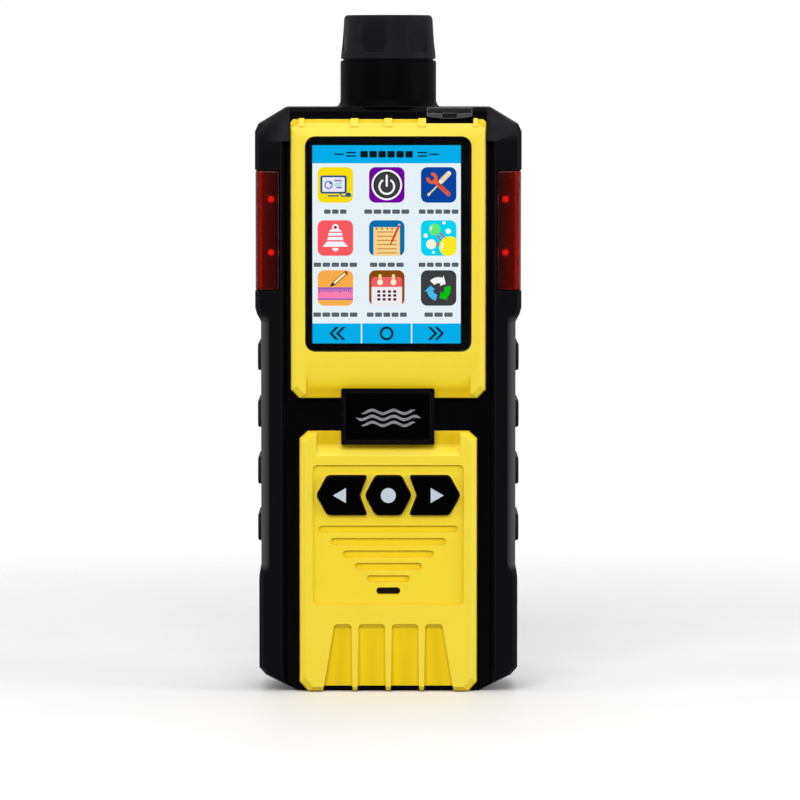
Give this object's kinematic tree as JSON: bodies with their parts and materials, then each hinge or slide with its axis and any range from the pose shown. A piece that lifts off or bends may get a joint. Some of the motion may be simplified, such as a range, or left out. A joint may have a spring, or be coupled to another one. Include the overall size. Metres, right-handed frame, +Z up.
{
  "type": "portable gas detector",
  "caption": "Hand-held pumped gas detector: black two-shell body, yellow front panels, colour display, keys, red alarm lenses and a screw cap over its inlet.",
  "frame": {"origin": "on the flat base, under the inlet neck's axis", "axes": "+Z up to the screw cap, -Y out of the display, +X to the right of someone who reads it"},
  "size_m": [0.0772, 0.0478, 0.1967],
  "materials": {
    "black_plastic": "fine matte grain",
    "yellow_plastic": "satin",
    "black_gloss": "polished",
    "rubber": "matte",
    "red_lens": "polished, dark translucent red",
    "glass": "polished, black printed border",
    "display": "lit colour display",
    "board": "solder mask",
    "steel": "satin",
    "light_plastic": "matte",
    "silicone": "matte, translucent",
    "battery_wrap": "satin film",
    "label": "matte film, blank"
  },
  "bodies": {
    "housing": {"front_housing": "black_plastic", "rear_housing": "black_plastic", "inlet_neck": "black_plastic", "buzzer": "black_plastic", "vent_fitting": "black_plastic", "display_bezel": "yellow_plastic", "keypad_bezel": "yellow_plastic", "nameplate": "black_gloss", "housing_gasket": "rubber", "window_gasket": "rubber", "left_side_rail": "rubber", "right_side_rail": "rubber", "cap_o_ring": "rubber", "pump_diaphragm": "rubber", "left_alarm_lens": "red_lens", "right_alarm_lens": "red_lens", "display_window": "glass", "lcd_module": "display", "main_board": "board", "left_alarm_board": "board", "right_alarm_board": "board", "left_lower_screw": "steel", "left_upper_screw": "steel", "right_lower_screw": "steel", "right_upper_screw": "steel", "usb_connector": "steel", "vibration_motor": "steel", "pump_motor": "steel", "clip_bracket": "steel", "left_clip_screw": "steel", "right_clip_screw": "steel", "clip_pin": "steel", "clip_spring": "steel", "neck_nut": "light_plastic", "pump_head": "light_plastic", "pump_cover": "light_plastic", "oxygen_sensor": "light_plastic", "combustible_sensor": "light_plastic", "carbon_monoxide_sensor": "light_plastic", "hydrogen_sulfide_sensor": "light_plastic", "sensor_manifold": "light_plastic", "dome_left": "silicone", "dome_ok": "silicone", "dome_right": "silicone", "inlet_tube": "silicone", "suction_tube": "silicone", "exhaust_tube": "silicone", "battery_pack": "battery_wrap", "rear_label": "label"},
    "left_key": {"key_left": "black_gloss"},
    "ok_key": {"key_ok": "black_gloss"},
    "right_key": {"key_right": "black_gloss"},
    "filter": {"filter_cup": "light_plastic", "dust_filter": "silicone"},
    "cap": {"inlet_cap": "black_plastic"},
    "port_cover": {"usb_cover": "rubber"},
    "clip": {"clip_arm": "steel"},
    "rotor": {"pump_rotor": "steel"},
    "rod": {"pump_rod": "light_plastic"},
    "weight": {"vibration_weight": "steel"}
  },
  "joints": [
    {"name": "key_left_press", "type": "slide", "parent": "housing", "child": "left_key", "axis": [0, 1, 0], "range_m": [0, 0.0008], "stiffness_N_per_m": 800, "springref_m": -0.0005},
    {"name": "key_ok_press", "type": "slide", "parent": "housing", "child": "ok_key", "axis": [0, 1, 0], "range_m": [0, 0.0008], "stiffness_N_per_m": 800, "springref_m": -0.0005},
    {"name": "key_right_press", "type": "slide", "parent": "housing", "child": "right_key", "axis": [0, 1, 0], "range_m": [0, 0.0008], "stiffness_N_per_m": 800, "springref_m": -0.0005},
    {"name": "cap_lift", "type": "slide", "parent": "housing", "child": "filter", "axis": [0, 0, 1], "range_m": [0, 0.005]},
    {"name": "cap_turn", "type": "hinge", "parent": "filter", "child": "cap", "pos_m": [0, 0, 0.1839], "axis": [0, 0, 1], "range_deg": [0, 722]},
    {"name": "port_cover_hinge", "type": "hinge", "parent": "housing", "child": "port_cover", "pos_m": [0.0177, -0.0074, 0.1692], "axis": [-1, 0, 0], "range_deg": [0, 65], "stiffness_Nm_per_rad": 0.0006, "springref_deg": -11.46},
    {"name": "clip_hinge", "type": "hinge", "parent": "housing", "child": "clip", "pos_m": [0, 0.0229, 0.108], "axis": [1, 0, 0], "range_deg": [0, 15], "stiffness_Nm_per_rad": 0.3, "springref_deg": -11.46, "deforming": ["clip_spring"]},
    {"name": "pump_spin", "type": "hinge", "parent": "housing", "child": "rotor", "pos_m": [-0.0095, 0.003, 0.078], "axis": [1, 0, 0], "continuous": true},
    {"name": "pump_rod_slide", "type": "slide", "parent": "housing", "child": "rod", "axis": [0, 0, 1], "range_m": [-0.0006, 0.0006], "stiffness_N_per_m": 300},
    {"name": "vibration_spin", "type": "hinge", "parent": "housing", "child": "weight", "pos_m": [-0.0155, -0.0055, 0.02], "axis": [1, 0, 0], "continuous": true}
  ],
  "couplings": [
    {"joint": "cap_turn", "follows": "cap_lift", "rad_per_m": 2513.3}
  ]
}
